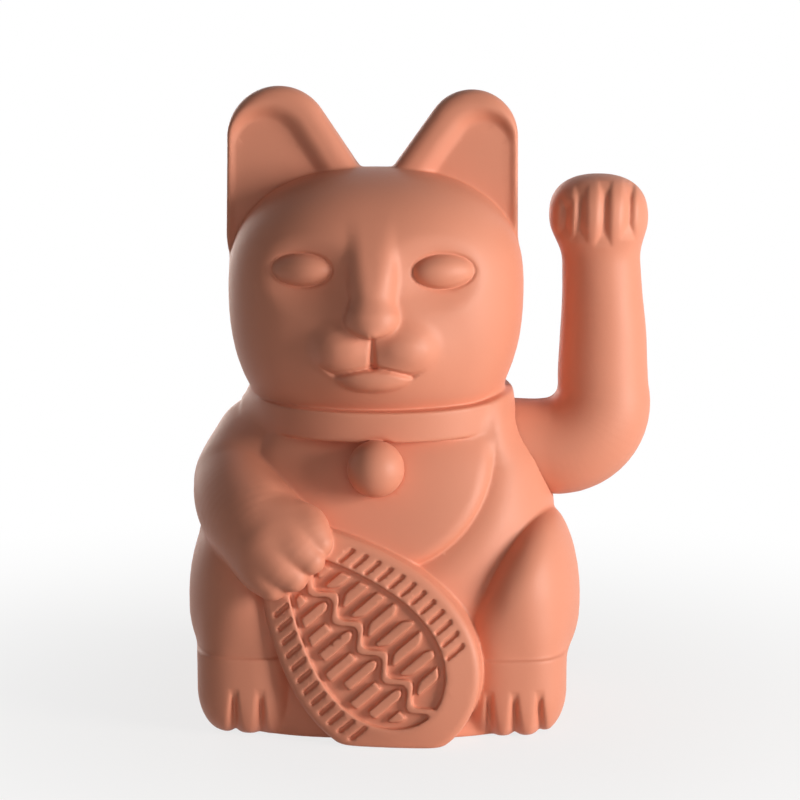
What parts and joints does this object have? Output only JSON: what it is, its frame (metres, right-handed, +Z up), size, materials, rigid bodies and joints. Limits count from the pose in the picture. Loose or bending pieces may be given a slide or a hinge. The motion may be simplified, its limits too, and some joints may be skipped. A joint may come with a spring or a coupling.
{
  "type": "lucky cat figurine",
  "caption": "Seated lucky cat figurine in matte painted plastic, holding an oval coin, with a raised paw that waves on an axle swung by a battery-driven pendulum inside.",
  "frame": {"origin": "on the underside of the base plate, straight below the swing axle and midway between the feet", "axes": "+Z up, the cat faces -Y, the waving arm is on +X"},
  "size_m": [0.1114, 0.0889, 0.1493],
  "materials": {
    "coral_paint": "matte sprayed paint over moulded plastic",
    "coral_plastic": "moulded, unpainted",
    "white_plastic": "moulded, natural",
    "cell_sleeve": "plain lacquered sleeve",
    "spring_steel": "bright drawn",
    "nickel_plate": "nickel plated",
    "bronze": "sintered",
    "copper_wire": "enamelled wire",
    "board_phenolic": "pressed paper laminate",
    "black_resin": "moulded",
    "tan_lacquer": "lacquered",
    "black_sleeve": "extruded",
    "red_sleeve": "extruded"
  },
  "bodies": {
    "figure": {"front_shell": "coral_paint", "rear_shell": "coral_paint", "base_plate": "coral_plastic", "battery_cell": "cell_sleeve", "battery_spring": "spring_steel", "spring_contact": "nickel_plate", "pip_contact": "nickel_plate", "swing_bracket": "white_plastic", "inner_bush": "bronze", "outer_bush": "bronze", "circuit_board": "board_phenolic", "coil_bobbin": "white_plastic", "coil_winding": "copper_wire", "transistor": "black_resin", "capacitor": "black_resin", "resistor": "tan_lacquer", "negative_lead": "black_sleeve", "positive_lead": "red_sleeve", "base_screw_1": "spring_steel", "base_screw_2": "spring_steel", "base_screw_3": "spring_steel", "base_screw_4": "spring_steel", "bracket_screw_1": "spring_steel", "bracket_screw_2": "spring_steel", "board_screw_1": "spring_steel", "board_screw_2": "spring_steel"},
    "waving_arm": {"arm_front_half": "coral_paint", "arm_rear_half": "coral_paint", "arm_hub": "white_plastic", "axle": "spring_steel", "pendulum_lever": "white_plastic", "pendulum_weight": "spring_steel", "pendulum_magnet": "nickel_plate"},
    "door": {"battery_door": "coral_plastic"}
  },
  "joints": [
    {"name": "arm_wave", "type": "hinge", "parent": "figure", "child": "waving_arm", "pos_m": [0.0315, 0, 0.0636], "axis": [1, 0, 0], "range_deg": [-22, 22]},
    {"name": "door_hinge", "type": "hinge", "parent": "figure", "child": "door", "pos_m": [-0.02955, 0.0175, 0.00105], "axis": [0, 1, 0], "range_deg": [0, 75]}
  ]
}
